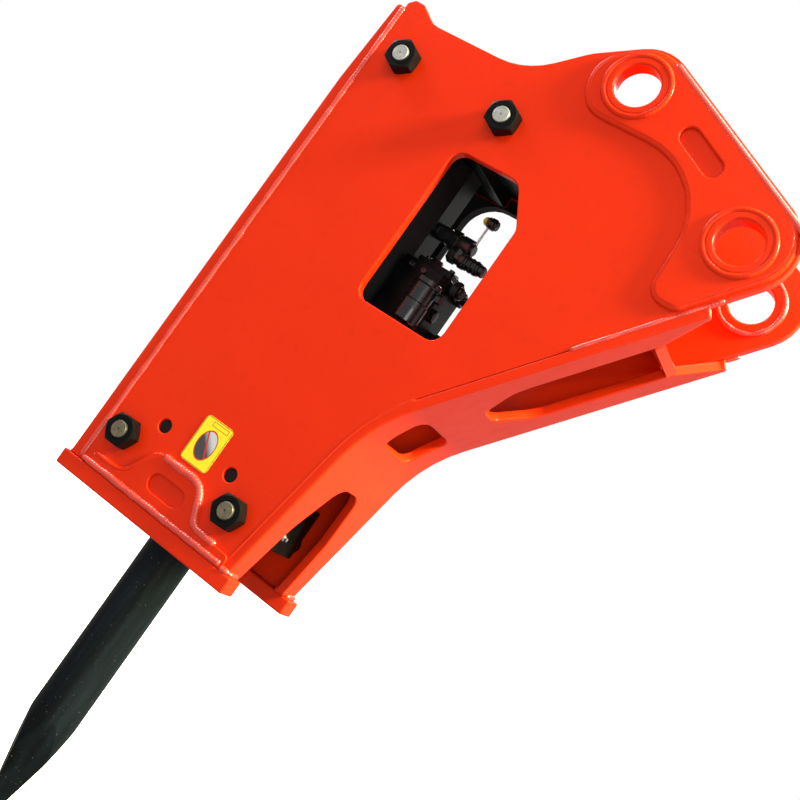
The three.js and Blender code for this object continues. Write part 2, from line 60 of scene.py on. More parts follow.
# ---- Camera -------------------------------------------------------------------------------
# Low on the near rear quarter, with a long lens, and tipped over so that the tool points down
# to the left and the bracket up to the right.
sight = Vector((-0.4393, 0.8954, 0.0729))
image_right = Vector((0.7520, 0.3221, 0.5751))
lens = bpy.data.cameras.new("camera")
lens.lens = 60.58
lens.sensor_width = 36
lens.shift_x = 0.0366
lens.shift_y = -0.0605
camera = bpy.data.objects.new("camera", lens)
bpy.context.scene.collection.objects.link(camera)
image_up = image_right.cross(sight)
turn = Matrix((image_right, image_up, -sight)).transposed().to_4x4()
camera.matrix_world = Matrix.Translation((0.6217, -2.3485, -0.6746)) @ turn
bpy.context.scene.camera = camera


# ---- Floor and light ----------------------------------------------------------------------
# A pale studio floor under the tip of the tool, an even pale surround, and soft boxes: two on
# the near side, high and low, a strong one that grazes the web, one overhead, one on the far
# side and a rim light.
bpy.context.scene.view_settings.view_transform = "Standard"
ground_sheet = bmesh.new()
bmesh.ops.create_grid(ground_sheet, x_segments=1, y_segments=1, size=12)
bmesh.ops.translate(ground_sheet, verts=ground_sheet.verts, vec=(cad_low[0], 0, cad_low[2]))
floor_mesh = bpy.data.meshes.new("floor")
ground_sheet.to_mesh(floor_mesh)
ground_sheet.free()
floor = bpy.data.objects.new("floor", floor_mesh)
bpy.context.scene.collection.objects.link(floor)
pale = bpy.data.materials.new("pale_floor")
pale.use_nodes = True
matt = pale.node_tree.nodes["Principled BSDF"].inputs
matt["Base Color"].default_value = (0.93, 0.93, 0.93, 1)
matt["Roughness"].default_value = 0.9
matt["Emission Color"].default_value = (1, 1, 1, 1)
matt["Emission Strength"].default_value = 0.75
floor_mesh.materials.append(pale)
floor.visible_diffuse = False
floor.visible_glossy = False

surround = bpy.data.worlds.new("surround")
surround.use_nodes = True
bpy.context.scene.world = surround
surround_nodes = surround.node_tree.nodes
surround_links = surround.node_tree.links
lit_by = surround_nodes["Background"]
lit_by.inputs["Color"].default_value = (1, 0.97, 0.95, 1)
lit_by.inputs["Strength"].default_value = 0.52
seen = surround_nodes.new("ShaderNodeBackground")
seen.inputs["Color"].default_value = (1, 1, 1, 1)
seen.inputs["Strength"].default_value = 1.0
seen_or_lit = surround_nodes.new("ShaderNodeMixShader")
ray_kind = surround_nodes.new("ShaderNodeLightPath")
surround_links.new(ray_kind.outputs["Is Camera Ray"], seen_or_lit.inputs[0])
surround_links.new(lit_by.outputs[0], seen_or_lit.inputs[1])
surround_links.new(seen.outputs[0], seen_or_lit.inputs[2])
surround_links.new(seen_or_lit.outputs[0], surround_nodes["World Output"].inputs["Surface"])


def soft_box(name, place, towards, size, power, colour):
    lamp = bpy.data.lights.new(name, "AREA")
    lamp.shape = "SQUARE"
    lamp.size = size
    lamp.energy = power
    lamp.color = colour
    box = bpy.data.objects.new(name, lamp)
    box.location = place
    box.rotation_euler = (Vector(towards) - Vector(place)).to_track_quat("-Z", "Y").to_euler()
    bpy.context.scene.collection.objects.link(box)


soft_box("key", (0.0, -3.6, 2.3), (-0.5, 0, -0.5), 1.6, 42, (1, 0.97, 0.94))
soft_box("fill", (1.9, -3.4, -0.7), (-0.3, 0, -0.5), 1.6, 36, (1, 0.98, 0.95))
soft_box("side", (3.2, -0.3, 3.1), (-0.4, 0, -0.6), 1.2, 1600, (1, 1, 0.58))
soft_box("top", (0.1, -0.7, 3.2), (-0.2, 0, 0.1), 1.0, 50, (1, 1, 1))
soft_box("back", (-0.8, 3.4, 1.6), (-0.4, 0, -0.4), 1.6, 55, (1, 0.98, 0.95))
soft_box("rim", (-3.0, -0.6, 1.4), (-0.6, 0, -0.3), 1.2, 60, (1, 1, 1))


# ---- Side plates --------------------------------------------------------------------------
# Two profiled steel plates 22 mm thick, flame cut, with the cut edges ground round before
# painting. The paint is a glossy orange-red enamel, sprayed over primer.
class Value:
    """What one socket of a finish carries. Arithmetic on it adds Math nodes."""

    def __init__(self, finish, socket):
        self.finish = finish
        self.socket = socket

    def maths(self, operation, first, second=0.0):
        return self.finish.node("ShaderNodeMath", {"operation": operation}, {0: first, 1: second})

    def __add__(self, other):
        return self.maths("ADD", self, other)

    def __sub__(self, other):
        return self.maths("SUBTRACT", self, other)

    def __rsub__(self, other):
        return self.maths("SUBTRACT", other, self)

    def __mul__(self, other):
        return self.maths("MULTIPLY", self, other)

    def __truediv__(self, other):
        return self.maths("DIVIDE", self, other)

    def __abs__(self):
        return self.maths("ABSOLUTE", self)

    __radd__ = __add__
    __rmul__ = __mul__


class Finish:
    """A painted, blackened or machined surface, built up from nodes on object coordinates."""

    def __init__(self, name):
        self.material = bpy.data.materials.new(name)
        self.material.use_nodes = True
        self.tree = self.material.node_tree
        self.shader = self.tree.nodes["Principled BSDF"]
        self.place = self.node("ShaderNodeTexCoord", {}, {}, "Object")

    def node(self, kind, settings, sockets, output=0):
        made = self.tree.nodes.new(kind)
        for name, value in settings.items():
            setattr(made, name, value)
        for key, value in sockets.items():
            self.feed(made.inputs[key], value)
        return Value(self, made.outputs[output])

    def feed(self, socket, value):
        if isinstance(value, Value):
            self.tree.links.new(value.socket, socket)
        else:
            socket.default_value = value

    def cloud(self, scale, detail=2.0, sharp=0.5):
        """Noise from 0 to 1; scale is in blotches per metre."""
        sockets = {"Vector": self.place, "Scale": scale, "Detail": detail, "Roughness": sharp}
        return self.node("ShaderNodeTexNoise", {}, sockets)

    def parts(self, position):
        """The x, y and z of a position."""
        split = self.node("ShaderNodeSeparateXYZ", {}, {0: position}).socket.node
        return [Value(self, output) for output in split.outputs]

    def between(self, value, low, high, start=0.0, end=1.0):
        """Start where value is below low, end where it is above high."""
        sockets = {0: value, 1: low, 2: high, 3: start, 4: end}
        return self.node("ShaderNodeMapRange", {}, sockets)

    def blend(self, amount, first, second):
        sockets = {0: amount, 6: first, 7: second}
        return self.node("ShaderNodeMix", {"data_type": "RGBA"}, sockets, 2)

    def relief(self, height, depth, over=None):
        """A bump that is depth metres high where height goes from 0 to 1."""
        sockets = {"Height": height, "Distance": depth}
        if over is not None:
            sockets["Normal"] = over
        return self.node("ShaderNodeBump", {}, sockets)

    def shows(self, **sockets):
        for name, value in sockets.items():
            self.feed(self.shader.inputs[name.replace("_", " ")], value)
        return self.material


def enamel(name, gloss, sag, shine):
    paint = Finish(name)
    # The low cloud makes lighter and darker red patches at random: partly the paint's own tone,
    # partly painted soft reflections.
    tone_and_sheen = paint.cloud(2.2, 3.0)
    mist = paint.cloud(38.0, 4.0, 0.6)
    red_and_sheen = paint.blend(tone_and_sheen, (0.670, 0.021, 0.0020, 1), (0.770, 0.031, 0.0032, 1))
    colour = paint.blend(paint.between(mist, 0.55, 0.8, 0.0, 0.35), red_and_sheen, (0.56, 0.016, 0.002, 1))
    wave = paint.relief(paint.cloud(5.0, 1.0), sag)
    peel = paint.relief(paint.cloud(240.0, 2.0, 0.6), 0.00010, wave)
    rough = paint.between(mist, 0.3, 0.75, gloss, gloss + 0.10)
    return paint.shows(
        Base_Color=colour, Roughness=rough, Normal=peel, Specular_IOR_Level=shine,
        Coat_Weight=shine, Coat_Roughness=0.08,
    )


plate_enamel = enamel("orange_red_enamel", 0.28, 0.0022, 0.10)


def drawn(x, y, z):
    """A point of the drawing, in millimetres from the tool axis and the underside of the bars."""
    return Vector((x - 635, y, z - 1005)) / 1000


merge_within = 1e-6


def merged_copy(node):
    """The node's own surface with its triangles joined up into flat faces."""
    shell = bmesh.new()
    shell.from_mesh(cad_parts[node].data)
    bmesh.ops.remove_doubles(shell, verts=shell.verts, dist=merge_within)
    bmesh.ops.dissolve_limit(shell, angle_limit=radians(0.5), verts=shell.verts, edges=shell.edges)
    return shell


def open_corners(shell):
    """Cuts the flat faces into well shaped triangles, so that rounding an edge has room."""
    bmesh.ops.triangulate(shell, faces=shell.faces, quad_method="BEAUTY", ngon_method="BEAUTY")
    flat = [e for e in shell.edges if e.calc_face_angle(1) < radians(0.5)]
    bmesh.ops.beautify_fill(shell, faces=shell.faces, edges=flat, method="ANGLE")


def sharp_edges(shell, angle):
    return [e for e in shell.edges if e.calc_face_angle(0) > radians(angle)]


def finished(name, shell, finish, body="housing", stands_for=(), crisp=40):
    """Makes a mesh the piece that rides on a body, smooth except at its crisp edges."""
    for face in shell.faces:
        face.smooth = True
    for edge in shell.edges:
        edge.smooth = edge.calc_face_angle(0) < radians(crisp)
    mesh = bpy.data.meshes.new(name)
    shell.to_mesh(mesh)
    shell.free()
    mesh.materials.append(finish)
    piece = bpy.data.objects.new(name, mesh)
    bpy.context.scene.collection.objects.link(piece)
    even = piece.modifiers.new("even_shading", "WEIGHTED_NORMAL")
    even.keep_sharp = True
    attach(piece, body)
    if stands_for:
        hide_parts(*stands_for)
    return piece


def rounded_over(node, radius, finish, body="housing", angle=30):
    """The node's shape with its sharp edges rounded to a radius, in the node's place."""
    shell = merged_copy(node)
    open_corners(shell)
    bmesh.ops.bevel(
        shell, geom=sharp_edges(shell, angle), offset=radius, offset_type="OFFSET",
        affect="EDGES", segments=3, profile=0.5, material=-1, loop_slide=True,
    )
    return finished(node + "_shape", shell, finish, body, (node,))


def rim_loops(node, facing):
    """The closed outlines of the flat face of a plate that looks along facing, longest first."""
    shell = merged_copy(node)
    shell.edges.index_update()
    rim = {
        e for e in shell.edges
        if sum(f.normal.dot(facing) > 0.99 for f in e.link_faces) == 1
    }
    loops = []
    while rim:
        edge = min(rim, key=lambda e: e.index)
        rim.remove(edge)
        first, last = edge.verts
        loop = [first.co.copy(), last.co.copy()]
        while last != first:
            edge = next(e for e in last.link_edges if e in rim)
            rim.remove(edge)
            last = edge.other_vert(last)
            loop.append(last.co.copy())
        loops.append(loop)
    shell.free()
    return sorted(loops, key=lambda loop: -sum((a - b).length for a, b in zip(loop, loop[1:])))


def sheet(name, loops, middle, axes, thickness, radius):
    """A flat sheet round a middle point, cut to closed outlines, its edges ground round."""
    curve = bpy.data.curves.new(name, "CURVE")
    curve.dimensions = "2D"
    curve.fill_mode = "BOTH"
    curve.extrude = thickness / 2 - radius
    curve.bevel_depth = radius
    curve.bevel_resolution = 2
    curve.offset = -radius
    for loop in loops:
        spline = curve.splines.new("POLY")
        spline.points.add(len(loop) - 2)
        spline.use_cyclic_u = True
        for point, corner in zip(spline.points, loop):
            point.co = (*(axes.transposed() @ (corner - middle)).xy, 0, 1)
    outline = bpy.data.objects.new(name + "_outline", curve)
    bpy.context.scene.collection.objects.link(outline)
    bpy.context.view_layer.update()
    shape = outline.evaluated_get(bpy.context.evaluated_depsgraph_get()).to_mesh()
    shell = bmesh.new()
    shell.from_mesh(shape)
    bpy.data.objects.remove(outline)
    lie = Matrix.Translation(middle) @ axes.to_4x4()
    bmesh.ops.transform(shell, matrix=lie, verts=shell.verts)
    bmesh.ops.remove_doubles(shell, verts=shell.verts, dist=merge_within)
    bmesh.ops.recalc_face_normals(shell, faces=shell.faces)
    return shell


upright = Matrix(((1, 0, 0), (0, 0, -1), (0, 1, 0)))


def flat_cut(node, radius, finish, axes=upright):
    """A flat plate cut to its node's outline and holes, in the node's place."""
    low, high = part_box(node)
    facing = axes.col[2]
    thickness = abs((high - low).dot(facing))
    shell = sheet(node, rim_loops(node, facing), (low + high) / 2, axes, thickness, radius)
    return finished(node + "_shape", shell, finish, stands_for=(node,))


for side in ("left", "right"):
    flat_cut(f"side_plate_{side}", 0.0025, plate_enamel)


# ---- Front plate, web, cross plate, top plate and bottom bars ------------------------------
# Plates welded between and under the side plates: the flat front plate, the web bent round
# the rear edges, the folded cross plate, the top cover and the two skid bars at the foot.
flat_cut("front_plate", 0.003, plate_enamel)
flat_cut("top_plate", 0.002, plate_enamel, Matrix.Identity(3))
flat_cut("bottom_bar_left", 0.003, plate_enamel)
flat_cut("bottom_bar_right", 0.003, plate_enamel)
rounded_over("rear_web", 0.004, plate_enamel)
rounded_over("cross_plate", 0.0025, plate_enamel)


# ---- Doublers and pin bosses --------------------------------------------------------------
# Thinner plates laid on the side plates round the pins and at the foot, with plug slots, and
# the machined bosses that carry the pins.
for side in ("left", "right"):
    flat_cut(f"bracket_doubler_{side}", 0.003, plate_enamel)
    flat_cut(f"foot_doubler_{side}", 0.002, plate_enamel)
    rounded_over(f"arm_pin_boss_{side}", 0.0012, plate_enamel)
    rounded_over(f"link_pin_boss_{side}", 0.0012, plate_enamel)


# ---- Weld beads ---------------------------------------------------------------------------
# Hand-laid fillet and seam welds with their ripples, under the same paint. They run round
# the doublers and bosses, along the seams of the box and over the bars.
bead_enamel = enamel("enamel_on_weld", 0.36, 0.0006, 0.8)
# With a fixed seed the beads wander the same way in every run.
bead_seed = 1
noise.seed_set(bead_seed)


def spaced(points, step):
    """Points every step metres along a run, with the run's own end kept."""
    out = [points[0]]
    left = step
    for start, end in zip(points, points[1:]):
        length = (end - start).length
        done = left
        while done < length:
            out.append(start.lerp(end, done / length))
            done += step
        left = done - length
    out.append(points[-1])
    return out


def weld(name, runs, radius, ripple=1.0, flat=1.0, finish=bead_enamel):
    """Round beads along each run of points, half sunk in the joint, rippled and uneven.

    A bead that was laid in several passes is flat: lower across the machine than it is wide."""
    step = 0.0022
    curve = bpy.data.curves.new(name, "CURVE")
    curve.dimensions = "3D"
    curve.bevel_depth = radius
    curve.bevel_resolution = 2
    curve.use_fill_caps = True
    for run in runs:
        points = spaced(run, step)
        closed = (run[0] - run[-1]).length < 1e-5
        spline = curve.splines.new("POLY")
        spline.points.add(len(points) - 1)
        for i, point in enumerate(points):
            ends = 1.0 if closed else min(1.0, sqrt((min(i, len(points) - 1 - i) + 0.3) / 3))
            swell = 0.05 * sin(i * 2.1) + 0.22 * noise.noise(point * 45)
            wander = noise.noise_vector(point * 30) * radius * 0.12 * ripple
            spline.points[i].co = (*(point + wander), 1)
            spline.points[i].radius = ends * (1 + swell * ripple)
    rough = bpy.data.objects.new(name + "_run", curve)
    bpy.context.scene.collection.objects.link(rough)
    bpy.context.view_layer.update()
    shape = rough.evaluated_get(bpy.context.evaluated_depsgraph_get()).to_mesh()
    shell = bmesh.new()
    shell.from_mesh(shape)
    bpy.data.objects.remove(rough)
    bmesh.ops.remove_doubles(shell, verts=shell.verts, dist=merge_within)
    if flat != 1.0:
        root = Matrix.Translation((0, -runs[0][0].y, 0))
        bmesh.ops.scale(shell, vec=(1, flat, 1), space=root, verts=shell.verts)
    bmesh.ops.recalc_face_normals(shell, faces=shell.faces)
    return finished(name, shell, finish, crisp=80)


def ring(x, z, radius, y):
    return [
        drawn(x + radius * cos(k * pi / 45), y, z + radius * sin(k * pi / 45)) for k in range(91)
    ]


def line(*corners):
    return [drawn(*corner) for corner in corners]


pins = ((635, 1005), (316, 1175))
for side, out in (("left", -1), ("right", 1)):
    outside = 158 * out
    inside = 134 * out
    towards_plate = Vector((0, -out, 0))
    bracket_rims = rim_loops(f"bracket_doubler_{side}", towards_plate)
    weld(f"weld_bracket_doubler_{side}", [bracket_rims[0]],
         0.007, ripple=0.3, finish=plate_enamel)
    thin_side = [(-172, 59), (-112, 60), (-99, 66), (-89, 79), (-72, 109), (-62, 124), (-47, 133)]
    heavy_side = [
        (-44, 133), (38, 133), (54, 128), (64, 118), (72, 104), (84, 78), (92, 67), (104, 62),
        (152, 61),
    ]
    weld(f"weld_foot_thin_{side}", [line(*((x, outside, z) for x, z in thin_side))],
         0.0055, ripple=0.4, finish=plate_enamel)
    weld(f"weld_foot_heavy_{side}", [line(*((x, 158.5 * out, z) for x, z in heavy_side))],
         0.0088, ripple=1.3)
    outer_edge = line((352, outside, 1246), (716, outside, 1072), (744, outside, 1050))
    weld(f"weld_outer_edge_{side}", [outer_edge], 0.0080, ripple=0.0)
    boss_rings = [ring(x, z, 61, 164 * out) for x, z in pins]
    weld(f"weld_bosses_{side}", boss_rings, 0.0066, ripple=0.5, finish=plate_enamel)
    weld(f"weld_bosses_inside_{side}", [ring(x, z, 62, inside) for x, z in pins], 0.006)
    bar_seam = line((-190, 159 * out, 40), (183, 159 * out, 40))
    weld(f"weld_bar_{side}", [bar_seam], 0.0074, ripple=1.5)
    front_seam = line((-196.5, 155.2 * out, 36), (-196.5, 155.2 * out, 1117))
    weld(f"weld_front_seam_{side}", [front_seam], 0.0062, flat=0.75)
    tip_seam = line((492, 154.8 * out, 699.4), (668, 154.8 * out, 907.9))
    weld(f"weld_web_tip_{side}", [tip_seam], 0.0046)
    plate_rim = rim_loops(f"side_plate_{side}", -towards_plate)[0]
    corner = drawn(170, 0, 705)
    seam = [p for p in plate_rim if p.x > corner.x and p.z < corner.z]
    seam.sort(key=lambda p: p.z)
    level_seam = [Vector((p.x + 0.001, drawn(0, 152.9 * out, 0).y, p.z)) for p in seam]
    weld(f"weld_web_ground_{side}", [level_seam], 0.0050, ripple=0.0, finish=plate_enamel)
    weld(f"weld_web_foot_{side}", [
        line((205, 155 * out, 35), (204, 118 * out, 35)),
        line((183, outside, 36), (207, outside, 36)),
        line((181, 108 * out, 36), (181, 133 * out, 36)),
    ], 0.0068)
    cross_seam = line((597, inside, 811), (308, inside, 966), (207, inside, 1176))
    weld(f"weld_cross_plate_{side}", [cross_seam], 0.006)
    weld(f"weld_top_plate_{side}", [line((-190, inside, 1109), (170, inside, 1109))], 0.005)
weld("weld_top_front", [line((-195, -130, 1109), (-195, 130, 1109))], 0.005)
weld("weld_front_foot", [
    line((-224, -150, 34), (-224, -118, 34)), line((-224, 118, 34), (-224, 150, 34)),
], 0.007)


# ---- Dark discs in the access holes, painted shade -----------------------------------------
# Black rubber discs set into the two access holes over the foot of each side plate: painted
# shade that keeps the holes dark inside.
seal = Finish("seal_rubber")
grain = seal.cloud(260, 3.0)
rubber = seal.shows(
    Specular_IOR_Level=0.2,
    Base_Color=seal.blend(grain, (0.006, 0.006, 0.006, 1), (0.014, 0.014, 0.014, 1)),
    Roughness=seal.between(grain, 0.3, 0.7, 0.7, 0.85),
)
shade_disc_radius = 0.0139
shade_disc_depth = 0.012
shade_disc_middle = 144
hole_height = 178
for side, out in (("left", -1), ("right", 1)):
    for place, x in (("front", -82), ("rear", 92)):
        shade_disc = bmesh.new()
        bmesh.ops.create_cone(
            shade_disc, cap_ends=True, segments=40, radius1=shade_disc_radius, radius2=shade_disc_radius,
            depth=shade_disc_depth,
        )
        bmesh.ops.bevel(
            shade_disc, geom=sharp_edges(shade_disc, 60), offset=0.002, offset_type="OFFSET",
            affect="EDGES", segments=3, profile=0.5, material=-1,
        )
        seat = Matrix.Translation(drawn(x, shade_disc_middle * out, hole_height))
        lie = seat @ Matrix.Rotation(pi / 2, 4, "X")
        bmesh.ops.transform(shade_disc, matrix=lie, verts=shade_disc.verts)
        finished(f"shade_plug_{place}_{side}", shade_disc, rubber)


# ---- Dark liners and trim round the windows, painted shade ---------------------------------
# Black rubber sheets inside both side plates round the windows, and a rubber trim pushed over
# the edge of the right one: dark pieces put in as painted shade, for the deep shade seen
# through the windows. Both are guesses.
dark_sheet_middle = 133.2
dark_sheet_thickness = 0.003
dark_sheet_rounding = 0.0005
left_margin = 1.05
dark_sheet_outline = (
    (-70, 560), (292, 560), (292, 852), (240, 954), (102, 954), (102, 929), (-70, 929),
    (-70, 560),
)
for side, out in (("left", -1), ("right", 1)):
    towards_cell = Vector((0, -out, 0))
    window = rim_loops(f"side_plate_{side}", towards_cell)[1]
    centre = sum(window, Vector()) / len(window)
    if side == "left":
        window = [centre + (point - centre) * left_margin for point in window]
    outer = line(*((x, dark_sheet_middle * out, z) for x, z in dark_sheet_outline))
    middle = drawn(110, dark_sheet_middle * out, 750)
    loops = [outer, window]
    dark_sheet = sheet(
        f"window_liner_{side}", loops, middle, upright, dark_sheet_thickness, dark_sheet_rounding
    )
    finished(f"window_liner_{side}", dark_sheet, rubber)

# The trim is a dark piece of painted shade too.
dark_trim_section = (
    (0, 131.5), (2, 131.5), (2, 158.5), (-5, 158.5), (-5, 157.2), (0, 157.2),
)
dark_trim = bmesh.new()
courses = []
for inset, y in dark_trim_section:
    course = []
    for before, point, after in zip([window[-2], *window[:-1]], window[:-1], window[1:]):
        run = (after - before).normalized()
        inward = Vector((run.z, 0, -run.x))
        if inward.dot(centre - point) < 0:
            inward = -inward
        spot = point + inward * (inset / 1000)
        course.append(dark_trim.verts.new((spot.x, y / 1000, spot.z)))
    courses.append(course)
for one, two in zip(courses, [*courses[1:], courses[0]]):
    for k in range(len(one)):
        dark_trim.faces.new((one[k - 1], one[k], two[k], two[k - 1]))
bmesh.ops.recalc_face_normals(dark_trim, faces=dark_trim.faces)
finished("shade_trim_right", dark_trim, rubber)


# ---- Labels -------------------------------------------------------------------------------
# Yellow films stuck above the foot: a thin dark border, an empty outline for a heading and a
# barred oval, with no lettering.
film = Finish("yellow_film")
film_centre = drawn(15.5, 0, 198)
film_parts = film.parts(film.place)
film_x = film_parts[0] - film_centre.x
film_z = film_parts[2] - film_centre.z


def framed(x, z, half_x, half_z, line_width):
    """1 on a thin rectangular line round a point of the film, 0 elsewhere."""
    beyond_x = abs(film_x - x) - half_x
    beyond_z = abs(film_z - z) - half_z
    outside = beyond_x.maths("MAXIMUM", beyond_x, beyond_z)
    return film.between(abs(outside), line_width, line_width + 0.0003, 1.0, 0.0)


in_oval_x = film_x / 0.0215
in_oval_z = (film_z + 0.0035) / 0.031
oval = in_oval_x * in_oval_x + in_oval_z * in_oval_z
slant = film_x * 0.90 + film_z * 0.43
lit_side = film.between(slant * 2.0 + film_z, -0.010, 0.030)
picture = film.blend(lit_side, (0.05, 0.05, 0.055, 1), (0.55, 0.58, 0.62, 1))
sign_red = (0.62, 0.02, 0.01, 1)
barred = film.blend(film.between(abs(slant), 0.0014, 0.0020, 1.0, 0.0), picture, sign_red)
ringed = film.blend(film.between(oval, 0.82, 0.85), barred, sign_red)
yellow = film.blend(film.cloud(60), (0.93, 0.72, 0.010, 1), (0.97, 0.80, 0.016, 1))
heading = framed(0.006, 0.038, 0.019, 0.0042, 0.0006)
headed = film.blend(heading, yellow, (0.55, 0.16, 0.006, 1))
field = film.blend(film.between(oval, 1.0, 1.03), ringed, headed)
film_material = film.shows(
    Base_Color=film.blend(framed(0, 0, 0.0320, 0.0465, 0.0005), field, (0.10, 0.08, 0.01, 1)),
    Roughness=film.between(film.cloud(90), 0.3, 0.7, 0.30, 0.42),
)
for side in ("left", "right"):
    flat_cut(f"label_{side}", 0.0002, film_material)


# ---- Side studs and nuts ------------------------------------------------------------------
# Four M36 studs through both plates hold the power cell. Each end carries a blackened hexagon
# nut with chamfered corners; the turned stud ends show grey steel with a centre mark.
nut_flats = 0.060
nut_face = 0.1863
nut_seat = 0.1573
stud_radius = 0.018
stud_end = 0.1893
chamfer_slope = 0.577
stud_places = {
    "lower_front": (-142, 124, -1.5), "lower_rear": (142, 124, -3),
    "upper_front": (-121, 1021, -30.5), "upper_rear": (134, 1005, -32),
}

blacking = Finish("blackened_steel")
scuffs = blacking.between(blacking.cloud(160, 5.0, 0.7), 0.62, 0.80)
blackened = blacking.shows(
    Specular_IOR_Level=0.13,
    Base_Color=blacking.blend(scuffs, (0.003, 0.0036, 0.0033, 1), (0.022, 0.022, 0.021, 1)),
    Metallic=0.2,
    Roughness=blacking.between(blacking.cloud(55, 4.0), 0.3, 0.7, 0.34, 0.55),
    Normal=blacking.relief(blacking.cloud(420, 3.0), 0.00008),
)


def bare_end(name, x, z, light, dark, punched):
    """Grey steel with the rings that facing in a lathe leaves round the stud's own axis."""
    steel = Finish(name)
    axis = drawn(x, 0, z)
    parts = steel.parts(steel.place)
    along = parts[0] - axis.x
    up = parts[2] - axis.z
    from_axis = up.maths("SQRT", along * along + up * up)
    rings = up.maths("SINE", from_axis * 9000)
    grime = steel.between(steel.cloud(120, 5.0, 0.65), 0.42, 0.72)
    thread = steel.between(from_axis, 0.0160, 0.0164)
    mark = steel.between(from_axis, 0.0014, 0.0034)
    faced = steel.blend(mark, punched, steel.blend(grime, light, dark))
    return steel.shows(
        Base_Color=steel.blend(thread, faced, (0.012, 0.012, 0.011, 1)),
        Metallic=0.3,
        Roughness=steel.between(grime, 0.0, 1.0, 0.42, 0.62),
        Normal=steel.relief(rings, 0.00004),
    )


def spun(profile, centre, axis, steps=48):
    """Spins a profile of (radius, distance along the axis) into a closed turned shape."""
    shell = bmesh.new()
    out = axis.orthogonal().normalized()
    points = [shell.verts.new(centre + out * radius + axis * along) for radius, along in profile]
    edges = [shell.edges.new(pair) for pair in zip(points, points[1:])]
    bmesh.ops.spin(
        shell, geom=points + edges, cent=centre, axis=axis, angle=2 * pi, steps=steps,
        use_merge=True,
    )
    bmesh.ops.remove_doubles(shell, verts=shell.verts, dist=merge_within)
    bmesh.ops.recalc_face_normals(shell, faces=shell.faces)
    return shell


def stud_profile():
    """From one end to the other, with a punched centre, a chamfer and two turns of thread."""
    half = [
        (0, stud_end - 0.0018), (0.0021, stud_end), (stud_radius - 0.0026, stud_end),
        (stud_radius - 0.0002, stud_end - 0.0024), (stud_radius - 0.0016, stud_end - 0.0036),
        (stud_radius, stud_end - 0.0048), (stud_radius, stud_end - 0.012),
    ]
    return [(r, -y) for r, y in half] + [(r, y) for r, y in reversed(half)]


def nut_shape(x, z, turned_by, out):
    """Six sides cut in 36 facets, so that the chamfer cone leaves its curved edge on the flats."""
    circle = nut_flats * 0.475
    bore = stud_radius + 0.0004
    shell = bmesh.new()
    bmesh.ops.create_circle(shell, segments=6, radius=nut_flats / sqrt(3))
    bmesh.ops.subdivide_edges(shell, edges=shell.edges, cuts=5)
    sides = {v.index: v.co.copy() for v in shell.verts}
    loop = list(shell.edges)
    height = nut_face - nut_seat

    def level(edges, radius, base, slope):
        grown = bmesh.ops.extrude_edge_only(shell, edges=edges)["geom"]
        for vert in (g for g in grown if isinstance(g, bmesh.types.BMVert)):
            around = Vector((vert.co.x, vert.co.y, 0))
            if radius:
                around = around.normalized() * radius
            else:
                around = flat_of(around)
            drop = max(0.0, around.length - circle) * slope
            vert.co = around + Vector((0, 0, base - drop))
        return [g for g in grown if isinstance(g, bmesh.types.BMEdge)]

    def flat_of(around):
        """Where a ray from the axis meets the hexagon."""
        nearest = max(sides.values(), key=lambda s: s.normalized().dot(around.normalized()))
        return nearest.copy()

    for vert in shell.verts:
        vert.co.z = max(0.0, vert.co.length - circle) * chamfer_slope
    loop = level(loop, 0, height, chamfer_slope)
    loop = level(loop, circle, height, 0)
    loop = level(loop, bore + 0.0015, height, 0)
    loop = level(loop, bore, height - 0.0015, 0)
    loop = level(loop, bore, 0, 0)
    loop = level(loop, circle, 0, 0)
    loop = level(loop, 0, 0, -chamfer_slope)
    bmesh.ops.remove_doubles(shell, verts=shell.verts, dist=merge_within)
    bmesh.ops.recalc_face_normals(shell, faces=shell.faces)
    lie = Matrix.Rotation(-out * pi / 2, 4, "X")
    spin = Matrix.Rotation(radians(turned_by + 30), 4, "Y")
    place = Matrix.Translation(drawn(x, 1000 * nut_seat * out, z))
    bmesh.ops.transform(shell, matrix=place @ spin @ lie, verts=shell.verts)
    return shell


for place, (x, z, turned_by) in stud_places.items():
    if place.startswith("upper"):
        tones = (0.36, 0.358, 0.345, 1), (0.23, 0.228, 0.22, 1), (0.22, 0.21, 0.20, 1)
    else:
        tones = (0.17, 0.135, 0.085, 1), (0.085, 0.068, 0.042, 1), (0.035, 0.018, 0.008, 1)
    steel = bare_end(f"stud_steel_{place}", x, z, *tones)
    stud = spun(stud_profile(), drawn(x, 0, z), Vector((0, 1, 0)))
    finished(f"stud_{place}", stud, steel, stands_for=(f"side_stud_{place}",))
    for side, out in (("left", -1), ("right", 1)):
        nut = nut_shape(x, z, turned_by, out)
        node = f"side_nut_{place}_{side}"
        finished(f"nut_{place}_{side}", nut, blackened, stands_for=(node,), crisp=25)


# ---- Chisel -------------------------------------------------------------------------------
# A 100 mm forged and turned tool of heat-treated steel, left black, with four flats ground
# to a blunt point. Handling leaves faint streaks along it and bright specks; the streaks are
# also painted lighter and bluish, a painted sheen.
tool = Finish("chisel_steel")
stretch = tool.node("ShaderNodeMapping", {}, {"Vector": tool.place, "Scale": (30, 30, 2.5)})
streak = tool.node("ShaderNodeTexNoise", {}, {"Vector": stretch, "Scale": 1.0, "Detail": 5.0})
speck = tool.between(tool.cloud(210, 2.0, 0.8), 0.70, 0.76)
